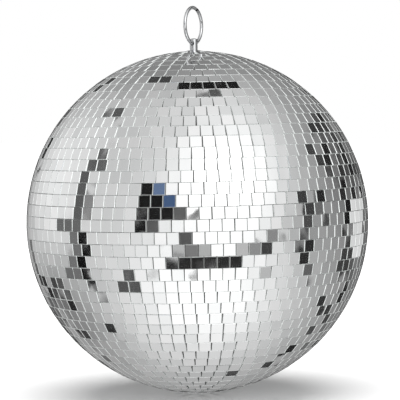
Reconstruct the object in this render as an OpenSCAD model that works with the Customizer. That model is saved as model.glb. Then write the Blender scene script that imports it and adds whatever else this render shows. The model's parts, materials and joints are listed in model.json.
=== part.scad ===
// Mirror ball with a hanging ring.
// A hollow two-piece plastic ball is faced with rows of small flat mirrors. A turned post is
// clamped through the top of the ball, and a ring of round wire passes through the post's cross hole.
// Millimetres. The origin is the place inside the top of the ring where a hook bears, +Z is up, and
// the ring lies in the YZ plane, so that its wire runs along Y where it goes through the post.

/* [Ball] */
// Outside diameter over the faces of the mirrors
ball_d = 304.8; // [280:0.1:320]
// Wall thickness of the plastic ball
wall = 3; // [2.5:0.1:4]
// Height of the lap joint that joins the two halves at the equator
lap_h = 6; // [4:0.5:10]
// Radius of the flat seat at each pole, where no row of mirrors fits
pole_r = 12.5; // [12.5:0.1:14]

/* [Mirrors] */
// Width of a mirror, along its row
tile_w = 9.5; // [9:0.1:9.6]
// Height of a mirror, from row to row
tile_h = 9.9; // [9:0.1:10]
// Thickness of a mirror
tile_t = 1.6; // [1.2:0.1:2]
// Rows of mirrors from pole to pole
rows = 44; // [44:1:44]
// Spacing of mirrors along a row, centre to centre, where the row is long enough for it
column_pitch = 10.5; // [10.3:0.1:11]
// Least gap between neighbouring mirrors of one row
least_gap = 0.3; // [0.2:0.05:0.5]

/* [Hanger post] */
// Diameter of the post
post_d = 7; // [6.5:0.1:8]
// Height of the post's top above the mirrors
post_h = 11.2; // [10:0.1:14]
// Height of the cross hole's axis above the mirrors
cross_hole_h = 6.9; // [6.5:0.1:7.5]
// Diameter of the cross hole
cross_hole_d = 4; // [4:0.1:4.4]
// Nominal diameter of the post's threaded end
thread_d = 5; // [5:0.1:5.5]
// Diameter of the collar at the post's foot
collar_d = 24; // [20:0.5:24]
// Height of the collar's crown above the mirrors
collar_h = 0.6; // [0.4:0.1:1]

/* [Hanging ring] */
// Outside diameter of the ring
ring_d = 35; // [33:0.5:36]
// Diameter of the ring's wire
wire_d = 3; // [2.8:0.1:3]
// Gap between the two ends of the wire
ring_gap = 0.8; // [0.2:0.1:1]
// Angle of the gap from the top of the ring, towards +Y
gap_turn = 22; // [15:1:40]

/* [Clamp inside the ball] */
// Diameter of the backing plate
plate_d = 40; // [32:1:44]
// Thickness of the backing plate
plate_t = 2; // [1.5:0.5:3]
// Width across the flats of the nut
nut_af = 8; // [8:0.5:9]
// Height of the nut
nut_h = 4; // [4:0.5:5]
// Thickness of the spring washer
washer_t = 1.2; // [1:0.1:1.5]

/* [Hidden] */
$fn = 96;
eps = 0.01;

// Ball, measured from its own centre
face_r = ball_d / 2;
core_r = face_r - tile_t;
inner_r = core_r - wall;
seat_z = sqrt(core_r * core_r - pole_r * pole_r);
// Boss that thickens the upper shell under the post, wider than the plate and deeper than the wall
boss_margin = 4;
boss_r = plate_d / 2 + boss_margin;
boss_z = inner_r - boss_margin;
lap_r = core_r - wall / 2;
glue_gap = 0.1;

// Rows of mirrors: the poles' seats take what is left of the half circle
pole_angle = asin(pole_r / face_r);
row_step = (180 - 2 * pole_angle) / rows;
// Each row starts at its own angle, so that the upright gaps of two rows don't line up
golden = 0.618034;

// Post and ring, measured from the ball's centre
post_top = face_r + post_h;
cross_z = face_r + cross_hole_h;
collar_top = face_r + collar_h;
collar_rim_t = 1.6;
collar_crown_d = post_d + 3;
thread_clear = 0.2;
stud_past_nut = 3;
stud_end = boss_z - plate_t - washer_t - nut_h - stud_past_nut;
dome_r = post_d * 0.9;
dome_z = post_top - dome_r;
ring_r = (ring_d - wire_d) / 2;
// The wire's lowest point lies this far below the cross hole's axis, because the wire curves up
wire_sag = 0.2;
ring_z = cross_z - wire_sag + ring_r;
gap_angle = ring_gap / ring_r * 180 / PI;

// Height of the hook's bearing place above the ball's centre
hook_z = ring_z + ring_r - wire_d / 2;

function two_digits(i) = i < 10 ? str("0", i) : str(i);
function row_name(i) = str("mirror_row_", two_digits(i));
function row_latitude(i) = 90 - pole_angle - (i - 0.5) * row_step;

// Mirrors in a row: as many as the spacing gives, or fewer where their corners would meet
function count_by_pitch(lat) = floor(2 * PI * face_r * cos(lat) / column_pitch);
function poleward_r(lat) = core_r * cos(lat) - tile_h / 2 * sin(abs(lat));
function count_by_corners(lat) = floor(180 / atan((tile_w + least_gap) / 2 / poleward_r(lat)));
function tile_count(lat) = min(count_by_pitch(lat), count_by_corners(lat));
function row_start(i) = i * golden - floor(i * golden);

// Sets a piece that is drawn around the ball's centre into the part's own frame
module placed() translate([0, 0, -hook_z]) children();

// Plain tube of radius r with a hole of radius bore_r, from z = low to z = high
module disc(r, bore_r, low, high) {
    difference() {
        translate([0, 0, low]) cylinder(r = r, h = high - low);
        translate([0, 0, low - 1]) cylinder(r = bore_r, h = high - low + 2);
    }
}

// Ball of radius r, flattened at the upper pole to make the seat
module seated_ball(r) {
    intersection() {
        sphere(r = r);
        translate([0, 0, seat_z - 2 * r]) cylinder(r = r, h = 2 * r);
    }
}

// ---- Hanging ring and post ----

module hanging_ring() {
    color("silver") placed()
        translate([0, 0, ring_z])
            rotate([180 - gap_turn + gap_angle / 2, 0, 0]) rotate([0, 90, 0])
                rotate_extrude(angle = 360 - gap_angle)
                    translate([ring_r, 0]) circle(d = wire_d);
}

module hanger_post() {
    color("gainsboro") placed() difference() {
        union() {
            intersection() {
                translate([0, 0, collar_top]) cylinder(d = post_d, h = post_top - collar_top);
                translate([0, 0, dome_z]) sphere(r = dome_r + eps);
            }
            translate([0, 0, collar_top]) cylinder(d = post_d, h = dome_z - collar_top);
            translate([0, 0, stud_end]) cylinder(d = thread_d, h = collar_top - stud_end + eps);
        }
        translate([0, 0, cross_z]) rotate([90, 0, 0])
            cylinder(d = cross_hole_d, h = 2 * post_d, center = true);
    }
}

module top_collar() {
    rim_z = seat_z + collar_rim_t;
    color("whitesmoke") placed() difference() {
        union() {
            translate([0, 0, seat_z]) cylinder(d = collar_d, h = collar_rim_t);
            translate([0, 0, rim_z])
                cylinder(d1 = collar_d, d2 = collar_crown_d, h = collar_top - rim_z);
        }
        translate([0, 0, seat_z - 1])
            cylinder(d = thread_d + thread_clear, h = collar_top - seat_z + 2);
    }
}

// ---- Ball ----

module upper_shell() {
    color("lightgrey") placed() difference() {
        union() {
            difference() {
                seated_ball(core_r);
                sphere(r = inner_r);
            }
            intersection() {
                seated_ball(core_r);
                translate([0, 0, boss_z]) cylinder(r = boss_r, h = core_r);
            }
        }
        translate([0, 0, -core_r - 1]) cylinder(r = core_r + 1, h = core_r + 1);
        translate([0, 0, -1]) cylinder(r = lap_r, h = lap_h + 1 + glue_gap);
        translate([0, 0, boss_z - 1]) cylinder(d = thread_d + thread_clear, h = core_r);
    }
}

module lower_shell() {
    color("lightgrey") placed() difference() {
        union() {
            intersection() {
                rotate([180, 0, 0]) seated_ball(core_r);
                translate([0, 0, -core_r]) cylinder(r = core_r, h = core_r);
            }
            translate([0, 0, -1]) cylinder(r = lap_r - glue_gap, h = lap_h + 1);
        }
        sphere(r = inner_r);
    }
}

// ---- Clamp inside the ball ----

module backing_plate() {
    color("darkgrey") placed()
        disc(plate_d / 2, (thread_d + thread_clear) / 2, boss_z - plate_t, boss_z);
}

module spring_washer() {
    top = boss_z - plate_t;
    slit = 0.8;
    color("slategrey") placed() difference() {
        disc(nut_af / 2, (thread_d + thread_clear) / 2, top - washer_t, top);
        translate([thread_d / 4, -slit / 2, top - washer_t - 1]) cube([nut_af, slit, washer_t + 2]);
    }
}

module hex_nut() {
    top = boss_z - plate_t - washer_t;
    color("silver") placed() difference() {
        translate([0, 0, top - nut_h]) cylinder(d = nut_af / cos(30), h = nut_h, $fn = 6);
        translate([0, 0, top - nut_h - 1]) cylinder(d = thread_d, h = nut_h + 2);
    }
}

// ---- Mirrors ----

// One mirror, its silvered back against the ball
module mirror_tile(latitude, longitude) {
    rotate([0, -latitude, longitude])
        translate([core_r, -tile_w / 2, -tile_h / 2]) cube([tile_t, tile_w, tile_h]);
}

module mirror_row(i) {
    latitude = row_latitude(i);
    count = tile_count(latitude);
    color("lightsteelblue") placed()
        for (k = [0:count - 1]) mirror_tile(latitude, (k + row_start(i)) * 360 / count);
}

// Four mirrors trimmed to a round, on the lower pole's seat
module bottom_pole_tiles() {
    offset_xy = (column_pitch - tile_w) / 2;
    round_r = pole_r - 0.5;
    color("lightsteelblue") placed() intersection() {
        translate([0, 0, -seat_z - tile_t]) for (a = [0:90:270])
            rotate([0, 0, a]) translate([offset_xy, offset_xy, 0]) cube([tile_w, tile_w, tile_t]);
        translate([0, 0, -face_r]) cylinder(r = round_r, h = 2 * tile_t + 1);
    }
}

hanging_ring();
hanger_post();
top_collar();
upper_shell();
lower_shell();
backing_plate();
spring_washer();
hex_nut();
bottom_pole_tiles();
for (i = [1:rows]) mirror_row(i);
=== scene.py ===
"""Looks for the mirror ball: detailed mirrors, ring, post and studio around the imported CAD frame."""

import json
import math

import bmesh
import bpy
import numpy as np
from mathutils import Matrix, Vector

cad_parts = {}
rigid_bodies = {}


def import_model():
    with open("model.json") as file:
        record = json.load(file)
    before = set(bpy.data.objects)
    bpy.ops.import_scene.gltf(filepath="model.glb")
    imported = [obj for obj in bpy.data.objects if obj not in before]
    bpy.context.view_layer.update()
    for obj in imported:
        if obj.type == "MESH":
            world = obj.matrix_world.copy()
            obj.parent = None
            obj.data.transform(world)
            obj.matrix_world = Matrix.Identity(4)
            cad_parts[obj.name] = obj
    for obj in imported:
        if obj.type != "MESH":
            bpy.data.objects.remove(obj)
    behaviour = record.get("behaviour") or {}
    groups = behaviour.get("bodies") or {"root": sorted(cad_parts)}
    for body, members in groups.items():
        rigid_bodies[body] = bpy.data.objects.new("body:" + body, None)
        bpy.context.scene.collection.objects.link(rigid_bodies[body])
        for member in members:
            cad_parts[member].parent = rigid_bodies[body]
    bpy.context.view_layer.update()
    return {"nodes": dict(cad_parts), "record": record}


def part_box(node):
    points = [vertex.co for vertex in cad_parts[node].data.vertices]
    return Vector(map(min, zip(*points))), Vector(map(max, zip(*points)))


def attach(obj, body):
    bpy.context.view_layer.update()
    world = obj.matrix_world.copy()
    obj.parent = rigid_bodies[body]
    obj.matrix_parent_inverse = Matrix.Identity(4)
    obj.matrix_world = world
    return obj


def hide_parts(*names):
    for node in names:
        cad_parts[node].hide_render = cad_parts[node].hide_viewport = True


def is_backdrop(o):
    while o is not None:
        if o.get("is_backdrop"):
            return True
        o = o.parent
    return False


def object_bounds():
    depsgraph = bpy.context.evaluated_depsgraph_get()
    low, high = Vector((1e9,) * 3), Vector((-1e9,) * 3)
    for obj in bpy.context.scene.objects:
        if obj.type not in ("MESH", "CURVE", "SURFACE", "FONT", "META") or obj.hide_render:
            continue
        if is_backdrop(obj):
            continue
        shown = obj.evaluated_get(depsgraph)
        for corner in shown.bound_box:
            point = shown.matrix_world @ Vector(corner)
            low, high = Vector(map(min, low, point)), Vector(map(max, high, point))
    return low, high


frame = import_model()

MM = 0.001
NODES = frame["nodes"]
ROW_NODES = sorted(name for name in NODES if name.startswith("mirror_row_"))


# ---------------------------------------------------------------- places taken from the frame

def ball_centre():
    """The two shells meet at the equator, so the ball's centre is as far up as the upper shell's edge."""
    low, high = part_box("upper_shell")
    return Vector(((low.x + high.x) / 2, (low.y + high.y) / 2, low.z))


CENTRE = ball_centre()
CORE_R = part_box("lower_shell")[1].x - CENTRE.x
UP = Vector((0, 0, 1))


def mirror_frames(node):
    """Every mirror of a row as (middle of its back, right, up, out, width, height, thickness)."""
    bm = bmesh.new()
    bm.from_mesh(NODES[node].data)
    bmesh.ops.remove_doubles(bm, verts=bm.verts, dist=1e-6)
    seen, frames = set(), []
    for start in bm.verts:
        if start in seen:
            continue
        island, edge_of_search = [], [start]
        seen.add(start)
        while edge_of_search:
            vert = edge_of_search.pop()
            island.append(vert.co.copy())
            for edge in vert.link_edges:
                other = edge.other_vert(vert)
                if other not in seen:
                    seen.add(other)
                    edge_of_search.append(other)
        middle_of_mirror = sum(island, Vector()) / len(island)
        out = (middle_of_mirror - CENTRE).normalized()
        up = (UP - out * out.z).normalized()
        right = up.cross(out)
        spans = []
        for axis in (right, up, out):
            along = [(corner - CENTRE).dot(axis) for corner in island]
            spans.append((min(along), max(along)))
        width, height, thick = (high - low for low, high in spans)
        frames.append((CENTRE + out * spans[2][0], right, up, out, width, height, thick))
    bm.free()
    return frames


# ---------------------------------------------------------------- materials

def new_material(name):
    material = bpy.data.materials.new(name)
    material.use_nodes = True
    nodes = material.node_tree.nodes
    return material, nodes, material.node_tree.links, nodes["Principled BSDF"]


def noise_node(nodes, links, scale, detail=3.0, roughness=0.5):
    place = nodes.new("ShaderNodeTexCoord")
    noise = nodes.new("ShaderNodeTexNoise")
    noise.inputs["Scale"].default_value = scale
    noise.inputs["Detail"].default_value = detail
    noise.inputs["Roughness"].default_value = roughness
    links.new(place.outputs["Object"], noise.inputs["Vector"])
    return noise


def ramp_node(nodes, links, source, stops):
    """A colour ramp fed by source; stops are (place, grey or colour)."""
    ramp = nodes.new("ShaderNodeValToRGB")
    while len(ramp.color_ramp.elements) < len(stops):
        ramp.color_ramp.elements.new(0.5)
    for element, (place, tone) in zip(ramp.color_ramp.elements, stops):
        element.position = place
        element.color = (*tone, 1) if isinstance(tone, tuple) else (tone, tone, tone, 1)
    links.new(source, ramp.inputs["Fac"])
    return ramp


def bump_node(nodes, links, shader, height, strength, distance):
    bump = nodes.new("ShaderNodeBump")
    bump.inputs["Strength"].default_value = strength
    bump.inputs["Distance"].default_value = distance
    links.new(height, bump.inputs["Height"])
    links.new(bump.outputs["Normal"], shader.inputs["Normal"])


def mirror_material():
    """Silvered glass: each mirror has its own slight tone, under a thin veil and specks of dust."""
    material, nodes, links, shader = new_material("mirror_glass")
    tone = nodes.new("ShaderNodeAttribute")
    tone.attribute_name = "tone"
    silver = ramp_node(nodes, links, tone.outputs["Fac"], [
        (0.0, (0.80, 0.81, 0.81)), (0.5, (0.90, 0.91, 0.91)), (1.0, (0.97, 0.97, 0.97))])
    links.new(silver.outputs["Color"], shader.inputs["Base Color"])
    dust = noise_node(nodes, links, 1500.0, 2.0, 0.7)
    clean = ramp_node(nodes, links, dust.outputs["Fac"], [(0.66, 0.997), (0.80, 0.96)])
    links.new(clean.outputs["Color"], shader.inputs["Metallic"])
    smears = noise_node(nodes, links, 60.0, 4.0, 0.6)
    rough = ramp_node(nodes, links, smears.outputs["Fac"], [(0.35, 0.03), (0.72, 0.08)])
    links.new(rough.outputs["Color"], shader.inputs["Roughness"])
    waves = noise_node(nodes, links, 55.0, 0.5, 0.4)
    bump_node(nodes, links, shader, waves.outputs["Fac"], 1.0, 0.00022)
    return material


def ground_edge_material():
    """The ground edge of a mirror: frosted, faintly green glass that catches the light."""
    material, nodes, links, shader = new_material("ground_glass_edge")
    grain = noise_node(nodes, links, 900.0, 3.0)
    colour = ramp_node(nodes, links, grain.outputs["Fac"], [
        (0.3, (0.82, 0.85, 0.84)), (0.7, (0.94, 0.96, 0.95))])
    links.new(colour.outputs["Color"], shader.inputs["Base Color"])
    shader.inputs["Roughness"].default_value = 0.3
    shader.inputs["Specular IOR Level"].default_value = 0.6
    bump_node(nodes, links, shader, grain.outputs["Fac"], 0.5, 0.00005)
    return material


def backing_material():
    """The protective paint over the silver on a mirror's back."""
    material, nodes, links, shader = new_material("mirror_back_paint")
    mottle = noise_node(nodes, links, 300.0)
    colour = ramp_node(nodes, links, mottle.outputs["Fac"], [(0.3, 0.30), (0.7, 0.40)])
    links.new(colour.outputs["Color"], shader.inputs["Base Color"])
    shader.inputs["Roughness"].default_value = 0.7
    return material


def shell_material():
    """Moulded pale plastic with the faint flow marks of its mould."""
    material, nodes, links, shader = new_material("moulded_plastic")
    flow = noise_node(nodes, links, 40.0, 4.0, 0.6)
    colour = ramp_node(nodes, links, flow.outputs["Fac"], [
        (0.3, (0.66, 0.66, 0.65)), (0.7, (0.78, 0.78, 0.77))])
    links.new(colour.outputs["Color"], shader.inputs["Base Color"])
    rough = ramp_node(nodes, links, flow.outputs["Fac"], [(0.35, 0.35), (0.7, 0.5)])
    links.new(rough.outputs["Color"], shader.inputs["Roughness"])
    bump_node(nodes, links, shader, flow.outputs["Fac"], 0.4, 0.0002)
    return material


def glue_and_shade_material():
    """The dark brushed-on glue that shows between the mirrors, glossy where it lies thick; its darkness is
    also painted shade for the gaps.
    """
    material, nodes, links, shader = new_material("mirror_glue_and_painted_shade")
    lumps = noise_node(nodes, links, 260.0, 4.0, 0.6)
    # Painted shade: far darker than the pale shell, this colour darkens the gaps between the mirrors where
    # shade falls
    colour = ramp_node(nodes, links, lumps.outputs["Fac"], [
        (0.3, (0.05, 0.05, 0.05)), (0.72, (0.13, 0.13, 0.128))])
    links.new(colour.outputs["Color"], shader.inputs["Base Color"])
    rough = ramp_node(nodes, links, lumps.outputs["Fac"], [(0.35, 0.6), (0.7, 0.25)])
    links.new(rough.outputs["Color"], shader.inputs["Roughness"])
    bump_node(nodes, links, shader, lumps.outputs["Fac"], 0.5, 0.0002)
    return material


def chrome_material(name, colour, scratch_stretch):
    """Bright plating with fine marks; scratch_stretch lengthens the marks along X, Y and Z."""
    material, nodes, links, shader = new_material(name)
    shader.inputs["Metallic"].default_value = 1.0
    shader.inputs["Base Color"].default_value = (*colour, 1)
    place = nodes.new("ShaderNodeTexCoord")
    stretch = nodes.new("ShaderNodeMapping")
    stretch.inputs["Scale"].default_value = scratch_stretch
    links.new(place.outputs["Object"], stretch.inputs["Vector"])
    marks = nodes.new("ShaderNodeTexNoise")
    marks.inputs["Scale"].default_value = 400.0
    marks.inputs["Detail"].default_value = 3.0
    links.new(stretch.outputs["Vector"], marks.inputs["Vector"])
    rough = ramp_node(nodes, links, marks.outputs["Fac"], [(0.35, 0.07), (0.72, 0.13)])
    links.new(rough.outputs["Color"], shader.inputs["Roughness"])
    bump_node(nodes, links, shader, marks.outputs["Fac"], 0.05, 0.00001)
    return material


def zinc_material():
    """Zinc plated steel of the clamp's inner pieces, with the plating's pale cloudy patches."""
    material, nodes, links, shader = new_material("zinc_plated_steel")
    shader.inputs["Metallic"].default_value = 0.9
    clouds = noise_node(nodes, links, 160.0, 5.0, 0.6)
    colour = ramp_node(nodes, links, clouds.outputs["Fac"], [
        (0.3, (0.46, 0.48, 0.50)), (0.7, (0.66, 0.67, 0.68))])
    rough = ramp_node(nodes, links, clouds.outputs["Fac"], [(0.3, 0.28), (0.7, 0.48)])
    links.new(colour.outputs["Color"], shader.inputs["Base Color"])
    links.new(rough.outputs["Color"], shader.inputs["Roughness"])
    bump_node(nodes, links, shader, clouds.outputs["Fac"], 0.2, 0.00005)
    return material


def bare_steel_material():
    """The dark bare steel of the wire's cut ends, where the plating stops."""
    material, nodes, links, shader = new_material("bare_steel")
    shader.inputs["Metallic"].default_value = 0.8
    grain = noise_node(nodes, links, 700.0, 3.0)
    colour = ramp_node(nodes, links, grain.outputs["Fac"], [(0.35, 0.03), (0.7, 0.09)])
    rough = ramp_node(nodes, links, grain.outputs["Fac"], [(0.35, 0.5), (0.7, 0.7)])
    links.new(colour.outputs["Color"], shader.inputs["Base Color"])
    links.new(rough.outputs["Color"], shader.inputs["Roughness"])
    return material


MIRROR = mirror_material()
GROUND_EDGE = ground_edge_material()
BACKING = backing_material()
# Glue darkened to paint the shade in the gaps between the mirrors
GLUE_AND_SHADE = glue_and_shade_material()
SHELL = shell_material()
ZINC = zinc_material()
POST_CHROME = chrome_material("turned_chrome", (0.68, 0.69, 0.70), (0.15, 0.15, 4.0))
BARE_STEEL = bare_steel_material()
RING_CHROME = chrome_material("wire_chrome", (0.72, 0.73, 0.74), (1.0, 1.0, 1.0))
COLLAR_CHROME = chrome_material("spun_chrome", (0.62, 0.62, 0.63), (1.0, 1.0, 3.0))


def set_material(obj, material):
    obj.data.materials.clear()
    obj.data.materials.append(material)


def new_piece(name, verts, faces, face_slots, *materials):
    mesh = bpy.data.meshes.new(name)
    mesh.from_pydata([tuple(v) for v in verts], [], faces)
    mesh.polygons.foreach_set("material_index", face_slots)
    mesh.update()
    piece = bpy.data.objects.new(name, mesh)
    bpy.context.scene.collection.objects.link(piece)
    for material in materials:
        mesh.materials.append(material)
    return piece


# ---------------------------------------------------------------- mirrors

BEVEL = 0.10 * MM
# How unevenly the mirrors are set: the spread of their tilts and turns, their most rise, shift and widening
TILT = math.radians(0.4)
TURN = math.radians(0.5)
RISE = 0.06 * MM
MOST_SHIFT = 0.2 * MM
MOST_WIDER = 0.2 * MM
# Mirrors are this much thinner than in the frame, so that a tilted corner stays inside its box
THINNER = 0.09 * MM
# Shape of the spread of silver tones from mirror to mirror, between dull and bright
TONE_SPREAD = (2.5, 2.0)
SEED = 20
SQUARE = ((-1, -1), (1, -1), (1, 1), (-1, 1))


def add_mirror(verts, faces, slots, tones, place, shift, rng):
    """One mirror as a bevelled block, set by hand: a little tilted, turned and out of line."""
    back, right, up, out, width, height, thick = place
    tilt_up, tilt_right, turn = rng.normal(0, 1, 3).clip(-2, 2) * (TILT, TILT, TURN)
    shift_right, shift_up = rng.uniform(-1, 1, 2) * (shift, RISE)
    basis = Matrix((right, up, out)).transposed()
    pose = Matrix.Rotation(tilt_up, 3, "X") @ Matrix.Rotation(tilt_right, 3, "Y")
    basis = basis @ pose @ Matrix.Rotation(turn, 3, "Z")
    first = len(verts)
    for inset, depth in ((0, 0), (0, thick - BEVEL), (BEVEL, thick)):
        for x, y in SQUARE:
            across = x * (width / 2 - inset) + shift_right
            along = y * (height / 2 - inset) + shift_up
            verts.append(back + basis @ Vector((across, along, depth)))
    for ring in (0, 4):
        for k in range(4):
            a, b = first + ring + k, first + ring + (k + 1) % 4
            faces.append((a, b, b + 4, a + 4))
            slots.append(1 if ring == 0 else 0)
    faces.append((first + 8, first + 9, first + 10, first + 11))
    slots.append(0)
    faces.append((first + 3, first + 2, first + 1, first))
    slots.append(2)
    tones.extend([float(rng.beta(*TONE_SPREAD))] * (len(faces) - len(tones)))


def polar_gap(places):
    """The gap between neighbouring mirrors of a row, at the corners nearer the pole."""
    back, _, _, out, width, height, _ = places[0]
    radius = math.hypot(back.x - CENTRE.x, back.y - CENTRE.y) - height / 2 * abs(out.z)
    return 2 * math.pi * radius / len(places) - width


def finish_mirrors(piece, node, tones):
    tone = piece.data.attributes.new("tone", "FLOAT", "FACE")
    tone.data.foreach_set("value", tones)
    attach(piece, "ball")
    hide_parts(node)


def build_row(node, index):
    """A row of mirrors, which shift and widen less where the row's gaps are narrow, near the poles."""
    rng = np.random.default_rng(SEED + index)
    places = mirror_frames(node)
    gap = polar_gap(places)
    shift, wider = min(MOST_SHIFT, gap / 5), min(MOST_WIDER, gap / 4)
    verts, faces, slots, tones = [], [], [], []
    for back, right, up, out, width, height, thick in places:
        place = (back, right, up, out, width + wider, height, thick - THINNER)
        add_mirror(verts, faces, slots, tones, place, shift, rng)
    piece = new_piece(node.replace("mirror_row", "row_of_mirrors"), verts, faces, slots,
                      MIRROR, GROUND_EDGE, BACKING)
    finish_mirrors(piece, node, tones)


def build_bottom_mirrors():
    """The four trimmed mirrors at the lower pole, with ground edges."""
    rng = np.random.default_rng(SEED)
    bm = bmesh.new()
    bm.from_mesh(NODES["bottom_pole_tiles"].data)
    bmesh.ops.remove_doubles(bm, verts=bm.verts, dist=1e-6)
    bmesh.ops.dissolve_limit(bm, angle_limit=math.radians(1), verts=bm.verts, edges=bm.edges)
    sharp = [edge for edge in bm.edges if edge.calc_face_angle(0) > math.radians(60)]
    bmesh.ops.bevel(bm, geom=sharp, offset=BEVEL, segments=1, affect="EDGES")
    for face in bm.faces:
        down = -face.normal.z
        face.material_index = 0 if down > 0.99 else 2 if down < -0.99 else 1
    piece = new_piece("bottom_mirrors", [], [], [], MIRROR, GROUND_EDGE, BACKING)
    bm.to_mesh(piece.data)
    bm.free()
    finish_mirrors(piece, "bottom_pole_tiles", rng.uniform(0.4, 0.7, len(piece.data.polygons)))


for row_index, row_node in enumerate(ROW_NODES):
    build_row(row_node, row_index)
build_bottom_mirrors()


# ---------------------------------------------------------------- dark film of glue and painted shade, and shells

# The dark film over the shells: glue, darkened as painted shade for the gaps between the mirrors; its
# thickness and lumps
DARK_FILM_T = 0.28 * MM
DARK_FILM_LUMPS = 0.12 * MM
# The film stops this many degrees from each pole, just outside the flat seat
DARK_FILM_POLE_ANGLE = 5.3


def build_dark_film(name, low_angle, high_angle):
    """A thin uneven dark film on one half of the ball, between two angles from the upper pole: glue,
    darkened as painted shade for the gaps.
    """
    rng = np.random.default_rng(SEED + len(name))
    steps, around = 150, 600
    waves = [(rng.integers(20, 90), rng.uniform(20, 80), rng.uniform(0, 2 * math.pi)) for _ in range(14)]
    verts, faces = [], []
    for j in range(steps + 1):
        polar = math.radians(low_angle + (high_angle - low_angle) * j / steps)
        for i in range(around):
            turn = 2 * math.pi * i / around
            lumps = sum(math.sin(m * turn + k * polar + phase) for m, k, phase in waves) / 5
            radius = CORE_R + DARK_FILM_T + DARK_FILM_LUMPS * max(-1.5, min(1.5, lumps))
            flat = radius * math.sin(polar)
            place = (flat * math.cos(turn), flat * math.sin(turn), radius * math.cos(polar))
            verts.append(CENTRE + Vector(place))
    for j in range(steps):
        for i in range(around):
            k = (i + 1) % around
            a, b = j * around, (j + 1) * around
            faces.append((a + i, b + i, b + k, a + k))
    film = new_piece(name, verts, faces, [0] * len(faces), GLUE_AND_SHADE)
    film.data.polygons.foreach_set("use_smooth", [True] * len(faces))
    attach(film, "ball")


# Dark films of glue and painted shade, seen in the gaps between the mirrors
build_dark_film("glue_film_upper", DARK_FILM_POLE_ANGLE, 90)
build_dark_film("glue_film_lower", 90, 180 - DARK_FILM_POLE_ANGLE)

set_material(NODES["upper_shell"], SHELL)
set_material(NODES["lower_shell"], SHELL)
set_material(NODES["backing_plate"], ZINC)
set_material(NODES["spring_washer"], ZINC)
set_material(NODES["hex_nut"], ZINC)


# ---------------------------------------------------------------- ring, post and collar

SHARP_ANGLE = math.radians(35)
# How many sides stand for the round of a turned piece, and of the drill
TURNED_SIDES = 96
DRILL_SIDES = 64


def lathe(profile, around, closed=False):
    """Verts and faces of a profile of (radius, height) turned round the post's axis."""
    verts, faces = [], []
    for radius, height in profile:
        for i in range(around):
            turn = 2 * math.pi * i / around
            verts.append((radius * math.cos(turn), radius * math.sin(turn), height))
    rows = len(profile) if closed else len(profile) - 1
    for j in range(rows):
        a, b = j * around, (j + 1) % len(profile) * around
        for i in range(around):
            k = (i + 1) % around
            faces.append((a + i, a + k, b + k, b + i))
    if not closed:
        faces.append(tuple(range(around))[::-1])
        top = (len(profile) - 1) * around
        faces.append(tuple(range(top, top + around)))
    return verts, faces


def arc(centre_r, centre_z, radius, first, last, steps):
    """Points of a rounded corner, angles in degrees from the outward direction."""
    angles = [math.radians(first + (last - first) * i / steps) for i in range(steps + 1)]
    return [(centre_r + radius * math.cos(a), centre_z + radius * math.sin(a)) for a in angles]


def smooth(piece):
    """Smooth shading, but for the edges whose faces meet at more than SHARP_ANGLE."""
    piece.data.polygons.foreach_set("use_smooth", [True] * len(piece.data.polygons))
    piece.data.set_sharp_from_angle(angle=SHARP_ANGLE)


def cut_with(piece, verts, faces):
    """Takes a closed shape out of a piece and applies it."""
    cutter = new_piece("cutter", verts, faces, [0] * len(faces))
    modifier = piece.modifiers.new("cut", "BOOLEAN")
    modifier.operation = "DIFFERENCE"
    modifier.solver = "EXACT"
    modifier.object = cutter
    depsgraph = bpy.context.evaluated_depsgraph_get()
    result = bpy.data.meshes.new_from_object(piece.evaluated_get(depsgraph))
    piece.modifiers.clear()
    piece.data = result
    bpy.data.objects.remove(cutter)


RING_LOW, RING_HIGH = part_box("hanging_ring")
WIRE_R = (RING_HIGH.x - RING_LOW.x) / 2
RING_R = (RING_HIGH.y - RING_LOW.y) / 2 - WIRE_R
RING_Z = RING_LOW.z + WIRE_R + RING_R
# The gap between the wire's ends: degrees from the ring's top, width, and the rounding of the ends
GAP_TURN = 22.0
GAP = 0.8 * MM
END_ROUND = 0.7 * MM
END_STEPS = 6
# How far each end has sprung sideways, and the degrees of the ring over which it does
END_SPREAD = 0.25 * MM
SPREAD_ANGLE = 70.0


def build_ring():
    """The wire, bent to a ring: its two cut ends are rounded off and have sprung a little apart."""
    steps, around = 220, 28
    half_gap = math.degrees(GAP / 2 / RING_R)
    first, last = GAP_TURN + half_gap, GAP_TURN + 360 - half_gap
    length = math.radians(last - first) * RING_R
    along = [END_ROUND * (1 - math.cos(math.radians(90 * k / END_STEPS))) for k in range(END_STEPS)]
    along += [END_ROUND + (length - 2 * END_ROUND) * i / steps for i in range(steps + 1)]
    along += [length - s for s in along[END_STEPS - 1::-1]]
    verts, faces, slots = [], [], []
    for s in along:
        to_end = min(s, length - s)
        wire = WIRE_R
        if to_end < END_ROUND:
            wire = WIRE_R - END_ROUND + math.sqrt(END_ROUND ** 2 - (END_ROUND - to_end) ** 2)
        turn = math.radians(first) + s / RING_R
        from_end = math.degrees(to_end / RING_R)
        spring = END_SPREAD * max(0.0, 1 - from_end / SPREAD_ANGLE) ** 2 * (1 if s < length / 2 else -1)
        radial = Vector((0, math.sin(turn), math.cos(turn)))
        middle_of_wire = Vector((spring, 0, RING_Z)) + radial * (RING_R - max(0.0, spring))
        for i in range(around):
            a = 2 * math.pi * i / around
            verts.append(middle_of_wire + radial * (wire * math.cos(a)) + Vector((wire * math.sin(a), 0, 0)))
    for j in range(len(along) - 1):
        a, b = j * around, (j + 1) * around
        bare = j < END_STEPS or j >= len(along) - 1 - END_STEPS
        for i in range(around):
            k = (i + 1) % around
            faces.append((a + i, a + k, b + k, b + i))
            slots.append(1 if bare else 0)
    faces.append(tuple(range(around))[::-1])
    top = (len(along) - 1) * around
    faces.append(tuple(range(top, top + around)))
    ring = new_piece("wire_ring", verts, faces, slots + [1, 1], RING_CHROME, BARE_STEEL)
    smooth(ring)
    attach(ring, "hanger")
    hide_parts("hanging_ring")


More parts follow.
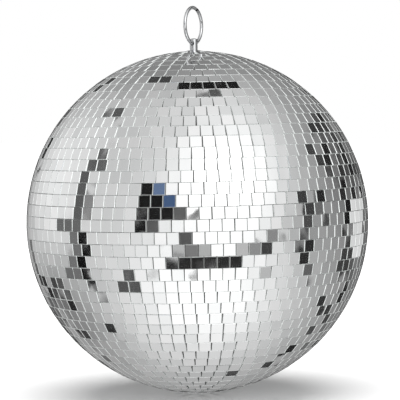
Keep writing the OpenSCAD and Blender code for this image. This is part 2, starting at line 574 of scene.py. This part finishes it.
POST_LOW, POST_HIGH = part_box("hanger_post")
POST_R = (POST_HIGH.x - POST_LOW.x) / 2
COLLAR_LOW, COLLAR_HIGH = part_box("top_collar")
COLLAR_R = (COLLAR_HIGH.x - COLLAR_LOW.x) / 2
STUD_R = 2.5 * MM
THREAD_PITCH = 0.8 * MM
THREAD_DEPTH = 0.4 * MM
HOLE_R = 2.0 * MM
HOLE_Z = frame["record"]["behaviour"]["joints"][0]["pos_m"][2]
HOLE_FLARE = 0.35 * MM


def build_post():
    """The turned post: a domed head, a cross hole with eased edges, and a threaded stud below."""
    foot = COLLAR_HIGH.z
    eased = 0.9 * MM
    profile = [(STUD_R - THREAD_DEPTH, POST_LOW.z), (STUD_R, POST_LOW.z + THREAD_DEPTH)]
    turns = int((foot - POST_LOW.z - 3 * THREAD_PITCH) / THREAD_PITCH)
    for k in range(turns):
        z = POST_LOW.z + 2 * THREAD_DEPTH + k * THREAD_PITCH
        profile += [(STUD_R, z), (STUD_R - THREAD_DEPTH, z + THREAD_PITCH / 2)]
    profile += [(STUD_R, foot - THREAD_PITCH / 2), (STUD_R, foot), (POST_R - 0.2 * MM, foot)]
    profile += [(POST_R, foot + 0.2 * MM), (POST_R, HOLE_Z)]
    profile += arc(POST_R - eased, POST_HIGH.z - eased - 0.45 * MM, eased, 0, 62, 7)
    profile += [(1.6 * MM, POST_HIGH.z - 0.08 * MM), (0.6 * MM, POST_HIGH.z)]
    verts, faces = lathe(profile, TURNED_SIDES)
    post = new_piece("turned_post", verts, faces, [0] * len(faces), POST_CHROME)
    drill = [(HOLE_R + 2 * HOLE_FLARE, -2 * POST_R), (HOLE_R + 2 * HOLE_FLARE, -POST_R - HOLE_FLARE),
             (HOLE_R, -POST_R + 1.5 * HOLE_FLARE)]
    drill += [(r, -z) for r, z in drill[::-1]]
    verts, faces = lathe(drill, DRILL_SIDES)
    along_y = Matrix.Translation((0, 0, HOLE_Z)) @ Matrix.Rotation(math.radians(90), 4, "X")
    cut_with(post, [along_y @ Vector(v) for v in verts], faces)
    smooth(post)
    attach(post, "ball")
    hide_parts("hanger_post")


def build_collar():
    """A pressed washer with a rolled rim, a shallow groove and a raised crown round the post."""
    low, high = COLLAR_LOW.z, COLLAR_HIGH.z
    rim, bore = 0.45 * MM, STUD_R + 0.1 * MM
    slope_z = low + 1.6 * MM
    profile = [(bore, low), (COLLAR_R - rim, low)]
    profile += arc(COLLAR_R - rim, low + rim, rim, -80, 0, 4)
    profile += arc(COLLAR_R - rim, slope_z - rim, rim, 0, 75, 5)
    profile += [(COLLAR_R * 0.86, slope_z - 0.02 * MM), (COLLAR_R * 0.80, slope_z + 0.12 * MM),
                (COLLAR_R * 0.62, slope_z + 0.5 * MM), (5.2 * MM, high - 0.12 * MM),
                (4.8 * MM, high), (bore, high)]
    verts, faces = lathe(profile, TURNED_SIDES, closed=True)
    collar = new_piece("pressed_collar", verts, faces, [0] * len(faces), COLLAR_CHROME)
    smooth(collar)
    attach(collar, "ball")
    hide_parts("top_collar")


build_ring()
build_post()
build_collar()


# ---------------------------------------------------------------- camera

# The camera's place round the ball: degrees round it, degrees above it, and in ball radii
VIEW_AZIMUTH = 27.3
VIEW_ELEVATION = 3.2
VIEW_DISTANCE = 12.0
CAMERA_ROLL = 1.2
# The ball's outline as shares of the square frame: its radius, and its middle right of and below the frame's
OUTLINE_R = 0.4275
BALL_RIGHT = -0.0065
BALL_BELOW = 0.05425

FACE_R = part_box(ROW_NODES[len(ROW_NODES) // 2])[1].x - CENTRE.x


def sight_axes():
    """Right, up and back of a camera that looks at the ball's centre, with its roll."""
    a, e = math.radians(VIEW_AZIMUTH), math.radians(VIEW_ELEVATION)
    back = Vector((math.sin(a) * math.cos(e), -math.cos(a) * math.cos(e), math.sin(e)))
    up = (UP - back * UP.dot(back)).normalized()
    right = up.cross(back)
    roll = math.radians(CAMERA_ROLL)
    return (right * math.cos(roll) - up * math.sin(roll), up * math.cos(roll) + right * math.sin(roll), back)


SIGHT_RIGHT, SIGHT_UP, SIGHT_BACK = sight_axes()


def add_camera():
    focal = OUTLINE_R * math.sqrt(VIEW_DISTANCE ** 2 - 1)
    aim = SIGHT_UP * (BALL_BELOW / focal) - SIGHT_RIGHT * (BALL_RIGHT / focal) - SIGHT_BACK
    back = -aim.normalized()
    up = (SIGHT_UP - back * SIGHT_UP.dot(back)).normalized()
    right = up.cross(back)
    data = bpy.data.cameras.new("camera")
    data.sensor_width = 36.0
    data.lens = focal * data.sensor_width
    data.clip_start, data.clip_end = 0.05, 50.0
    camera = bpy.data.objects.new("camera", data)
    bpy.context.scene.collection.objects.link(camera)
    place = CENTRE + SIGHT_BACK * VIEW_DISTANCE * FACE_R
    camera.matrix_world = Matrix.Translation(place) @ Matrix((right, up, back)).transposed().to_4x4()
    bpy.context.scene.camera = camera


# ---------------------------------------------------------------- studio

def direction(azimuth, elevation):
    """A direction from the ball: azimuth 0 is towards the camera, 90 to the camera's right."""
    a, e = math.radians(azimuth), math.radians(elevation)
    level = SIGHT_BACK * math.cos(a) + SIGHT_RIGHT * math.sin(a)
    return level * math.cos(e) + SIGHT_UP * math.sin(e)


def emission_material(name, colour=None, attribute=None):
    material = bpy.data.materials.new(name)
    material.use_nodes = True
    nodes, links = material.node_tree.nodes, material.node_tree.links
    nodes.clear()
    glow = nodes.new("ShaderNodeEmission")
    end = nodes.new("ShaderNodeOutputMaterial")
    if attribute:
        tone = nodes.new("ShaderNodeAttribute")
        tone.attribute_name = attribute
        links.new(tone.outputs["Color"], glow.inputs["Color"])
    else:
        glow.inputs["Color"].default_value = (*colour, 1)
    links.new(glow.outputs["Emission"], end.inputs["Surface"])
    material.cycles.emission_sampling = "NONE"
    return material


def unseen_by_camera(obj):
    """Leaves a thing to the mirrors and to the soft light it gives: the camera doesn't see it."""
    obj.visible_camera = False
    obj.visible_shadow = False
    obj.visible_transmission = False
    obj.visible_volume_scatter = False
    obj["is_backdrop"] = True


def patch(name, azimuths, elevations, distance, steps_across, steps_up):
    """A piece of a sphere round the ball, from the first azimuth and elevation to the second."""
    verts, faces = [], []
    for j in range(steps_up + 1):
        for i in range(steps_across + 1):
            a = azimuths[0] + (azimuths[1] - azimuths[0]) * i / steps_across
            e = elevations[0] + (elevations[1] - elevations[0]) * j / steps_up
            verts.append(CENTRE + direction(a, e) * distance)
    wide = steps_across + 1
    for j in range(steps_up):
        for i in range(steps_across):
            a = j * wide + i
            faces.append((a, a + 1, a + wide + 1, a + wide))
    return new_piece(name, verts, faces, [0] * len(faces))


ROOM_R = 14.0
CARD_R = 12.0
ROOM_TONE = 0.27
DARKEST_ROOM = 0.03
# Soft lights of the room, and shades where it is darker: azimuth, elevation, spread in degrees, strength
ROOM_LIGHTS = [
    (-115, 20, 34, 0.46),
    (-118, 2, 18, 0.22),
    (-45, 0, 28, 0.24),
    (22, 30, 27, 0.95),
    (20, 25, 15, 0.85),
    (8, -42, 34, 0.85),
    (0, 90, 28, 0.24),
    (0, -90, 38, 0.24),
    (70, -15, 20, 0.04),
    (110, 55, 30, 0.07),
    (150, -5, 18, -0.10),
    (75, -5, 9, -0.16),
    (-150, 58, 20, -0.16),
    (60, 60, 20, 0.10),
    (-125, -24, 16, -0.34),
    (120, 20, 18, -0.16),
    (180, 5, 16, -0.20),
    (-168, 50, 18, -0.16),
]


def add_room():
    """A room of smoothly changing tone, which the mirrors and the chrome reflect."""
    room = patch("room", (-180, 180), (-90, 90), ROOM_R, 120, 60)
    tones = room.data.attributes.new("room_tone", "FLOAT_COLOR", "POINT")
    lights = [(direction(a, e), math.radians(spread), strength) for a, e, spread, strength in ROOM_LIGHTS]
    for vert, tone in zip(room.data.vertices, tones.data):
        ray = (vert.co - CENTRE).normalized()
        value = ROOM_TONE
        for towards, spread, strength in lights:
            value += strength * math.exp(-0.5 * (ray.angle(towards) / spread) ** 2)
        value = max(value, DARKEST_ROOM)
        tone.color = (value, value, value, 1)
    set_material(room, emission_material("room_light", attribute="room_tone"))
    unseen_by_camera(room)


# Cards that stand in the room: the azimuths and elevations of their edges, and their tone or colour
CARDS = [
    ("bright_table", (-5, 40), (4, 10), 1.3),
    ("stand_foot", (-31, -23), (-5, 4), 0.10),
    ("stand", (-41, -24), (4, 18), 0.010),
    ("stand_low", (-38, -30), (-5, 3), 0.006),
    ("stand_right", (-26, -16), (3, 11), 0.012),
    ("stand_top", (-41, -32), (18, 26), 0.012),
    ("blue_cloth", (-25, -16), (10, 18), (0.065, 0.115, 0.23)),
    ("blue_cloth_top", (-32, -22), (18, 26), (0.13, 0.19, 0.32)),
    ("stand_side", (-16, -7), (3, 11), 0.12),
    ("stool", (-4, 3), (-5, 4), 0.20),
    ("stool_leg", (-14, -5), (-12, -4), 0.10),
    ("stool_foot", (-8, 1), (-20, -12), 0.20),
    ("table_edge", (-21, 31), (-28, -20), 0.022),
    ("table_end", (24, 32), (-28, -20), 0.14),
    ("table_leg", (-5, 4), (-36, -26), 0.06),
    ("paper_left", (-26, -9), (-20, -12), 0.55),
    ("paper_middle", (1, 9), (-20, -12), 0.50),
    ("paper_right", (24, 40), (-20, -12), 0.50),
    ("cloth_right", (48, 58), (-12, -2), 0.26),
    ("cloth_low", (46, 56), (-34, -26), 0.50),
    ("cushion", (-42, -33), (-35, -26), 0.24),
    ("box_right", (41, 51), (-18, -10), 0.05),
    ("box_right_side", (35, 42), (-18, -10), 0.30),
    ("left_frame_top", (-83, -73), (28, 42), 0.13),
    ("left_frame", (-92, -80), (-1, 28), 0.11),
    ("left_frame_side", (-81, -73), (3, 16), 0.24),
    ("left_sill", (-103, -79), (-3, 3), 0.14),
    ("left_frame_shade", (-97, -89), (-20, -3), 0.17),
    ("left_frame_low", (-89, -81), (-20, -3), 0.006),
    ("left_frame_base", (-93, -85), (-32, -20), 0.012),
    ("left_shelf", (-104, -93), (-27, -20), 0.16),
    ("left_skirting", (-68, -49), (-40, -31), 0.09),
    ("left_corner", (-88, -80), (-39, -32), 0.20),
    ("left_beam", (-115, -93), (48, 57), 0.10),
    ("right_frame_top", (72, 82), (4, 16), 0.05),
    ("right_frame", (74, 82), (-8, 4), 0.07),
    ("right_frame_low", (73, 83), (-20, -8), 0.025),
    ("right_frame_side", (82, 91), (4, 10), 0.14),
    ("right_frame_base", (82, 91), (-28, -19), 0.12),
    ("shelf_a", (90, 98), (9, 15), 0.012),
    ("shelf_b", (94, 100), (-2, 4), 0.04),
    ("shelf_c", (98, 107), (27, 35), 0.06),
    ("shelf_d", (115, 125), (33, 39), 0.04),
    ("shelf_e", (101, 109), (20, 27), 0.05),
    ("shelf_f", (112, 120), (22, 28), 0.02),
    ("shelf_g", (122, 130), (15, 21), 0.04),
    ("shelf_h", (110, 117), (8, 14), 0.03),
    ("shelf_i", (116, 122), (-8, 14), 0.012),
    ("shelf_j", (128, 136), (4, 9), 0.03),
    ("shelf_k", (115, 131), (-16, -9), 0.05),
    ("lamp_right", (124, 147), (-9, 6), 0.70),
    ("low_right_a", (113, 122), (-31, -26), 0.04),
    ("low_right_b", (135, 145), (-34, -29), 0.07),
    ("low_right_c", (138, 148), (-42, -36), 0.02),
    ("low_right_d", (150, 158), (-42, -37), 0.05),
    ("low_right_e", (158, 167), (-57, -50), 0.06),
    ("far_wall", (164, 196), (-16, 16), 0.06),
    ("ceiling_strip", (130, 212), (72, 80), 0.010),
    ("ceiling_strip_end", (133, 148), (64, 72), 0.014),
    ("ceiling_panel", (108, 152), (80, 87), 0.10),
    ("low_left_a", (-156, -147), (-13, -9), 0.05),
    ("low_left_b", (-146, -138), (-18, -11), 0.03),
    ("low_left_c", (-136, -128), (-24, -16), 0.06),
    ("low_left_d", (-127, -119), (-28, -18), 0.09),
    ("low_left_e", (-126, -119), (-33, -29), 0.02),
    ("low_left_f", (-146, -138), (-36, -31), 0.05),
    ("low_left_g", (-117, -108), (-54, -48), 0.03),
    ("back_left_a", (-162, -156), (24, 30), 0.06),
    ("back_left_b", (-157, -150), (8, 14), 0.03),
    ("back_left_c", (-157, -148), (54, 67), 0.06),
]
# Crowded places, filled with small dark cards: azimuths, elevations, how many, their least and most tone
CLUTTER = [
    ("shelves", (114, 152), (7, 31), 60, 0.01, 0.16),
    ("shelves_far", (148, 170), (4, 24), 16, 0.05, 0.25),
    ("shelves_low", (124, 146), (-18, -10), 12, 0.01, 0.14),
    ("shelves_near", (96, 114), (6, 28), 9, 0.03, 0.25),
    ("chairs", (-160, -122), (-32, -13), 26, 0.02, 0.20),
    ("chairs_far", (-172, -150), (-14, 14), 10, 0.03, 0.25),
    ("low_right", (116, 160), (-42, -22), 9, 0.02, 0.18),
]
# Least and most width and height of those small cards, in degrees
CLUTTER_WIDE = (2.5, 5.5)
CLUTTER_HIGH = (2.5, 6.0)
# Each card stands this much nearer or farther than the last one, so that no two lie in one surface
CARD_STEP = 0.01


def add_cards():
    for index, (name, azimuths, elevations, tone) in enumerate(CARDS):
        card = patch("card_" + name, azimuths, elevations, CARD_R - CARD_STEP * index, 6, 4)
        colour = tone if isinstance(tone, tuple) else (tone, tone, tone)
        set_material(card, emission_material("card_" + name, colour=colour))
        unseen_by_camera(card)


def add_clutter():
    rng = np.random.default_rng(SEED)
    distance = CARD_R
    for name, azimuths, elevations, count, least, most in CLUTTER:
        for number in range(count):
            distance += CARD_STEP
            a, e = rng.uniform(*azimuths), rng.uniform(*elevations)
            wide, high = rng.uniform(*CLUTTER_WIDE), rng.uniform(*CLUTTER_HIGH)
            tone = rng.uniform(least, most)
            card = patch(f"card_{name}_{number}", (a - wide / 2, a + wide / 2), (e - high / 2, e + high / 2),
                         distance, 3, 3)
            set_material(card, emission_material(card.name, colour=(tone, tone, tone)))
            unseen_by_camera(card)


FLOOR_GAP = 2 * MM
FLOOR_SIZE = 12.0
FLOOR_TONE = 0.7
FLOOR_GLOW = 0.05


def add_floor():
    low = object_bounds()[0].z - FLOOR_GAP
    verts = [(x * FLOOR_SIZE, y * FLOOR_SIZE, low) for x, y in SQUARE]
    floor = new_piece("floor", verts, [(0, 1, 2, 3)], [0])
    material, nodes, links, shader = new_material("pale_floor")
    shader.inputs["Base Color"].default_value = (FLOOR_TONE, FLOOR_TONE, FLOOR_TONE, 1)
    shader.inputs["Emission Color"].default_value = (1, 1, 1, 1)
    shader.inputs["Emission Strength"].default_value = FLOOR_GLOW
    shader.inputs["Roughness"].default_value = 0.9
    shader.inputs["Specular IOR Level"].default_value = 0.0
    material.cycles.emission_sampling = "NONE"
    set_material(floor, material)
    floor.visible_glossy = False
    floor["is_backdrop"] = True
    return floor


# The object's light: where it stands round the ball, how far off, how wide, and its power in watts
FRONT_PLACE = (8, 42)
FRONT_DISTANCE = 2.4
FRONT_SIZE = 0.8
FRONT_POWER = 42
# The floor's light from straight above: its strength and how soft its shadow's edge is, in degrees
OVERHEAD_STRENGTH = 4.15
OVERHEAD_SPREAD = 60


def add_light(name, kind, lit):
    """A light that shines on the objects in lit, and isn't seen in the mirrors."""
    data = bpy.data.lights.new(name, kind)
    light = bpy.data.objects.new(name, data)
    bpy.context.scene.collection.objects.link(light)
    light.visible_glossy = False
    light.light_linking.receiver_collection = lit
    return light


def add_lights(floor):
    """A soft light from the front for the object, and one from above for the floor and the shadow on it."""
    lit_object = bpy.data.collections.new("lit_object")
    lit_floor = bpy.data.collections.new("lit_floor")
    for obj in bpy.context.scene.objects:
        if obj.type == "MESH" and not obj.name.startswith(("room", "card_", "floor")):
            lit_object.objects.link(obj)
    lit_floor.objects.link(floor)
    front = add_light("front", "AREA", lit_object)
    front.data.shape = "DISK"
    front.data.size = FRONT_SIZE
    front.data.energy = FRONT_POWER
    front.visible_camera = False
    towards = direction(*FRONT_PLACE)
    front.location = CENTRE + towards * FRONT_DISTANCE
    front.rotation_mode = "QUATERNION"
    front.rotation_quaternion = towards.to_track_quat("Z", "Y")
    overhead = add_light("overhead", "SUN", lit_floor)
    overhead.data.energy = OVERHEAD_STRENGTH
    overhead.data.angle = math.radians(OVERHEAD_SPREAD)


def add_world():
    world = bpy.data.worlds.new("studio_white")
    world.use_nodes = True
    sky = world.node_tree.nodes["Background"]
    sky.inputs["Color"].default_value = (1, 1, 1, 1)
    sky.inputs["Strength"].default_value = 1.0
    bpy.context.scene.world = world
    bpy.context.scene.view_settings.view_transform = "Standard"


add_camera()
add_room()
add_cards()
add_clutter()
add_lights(add_floor())
add_world()
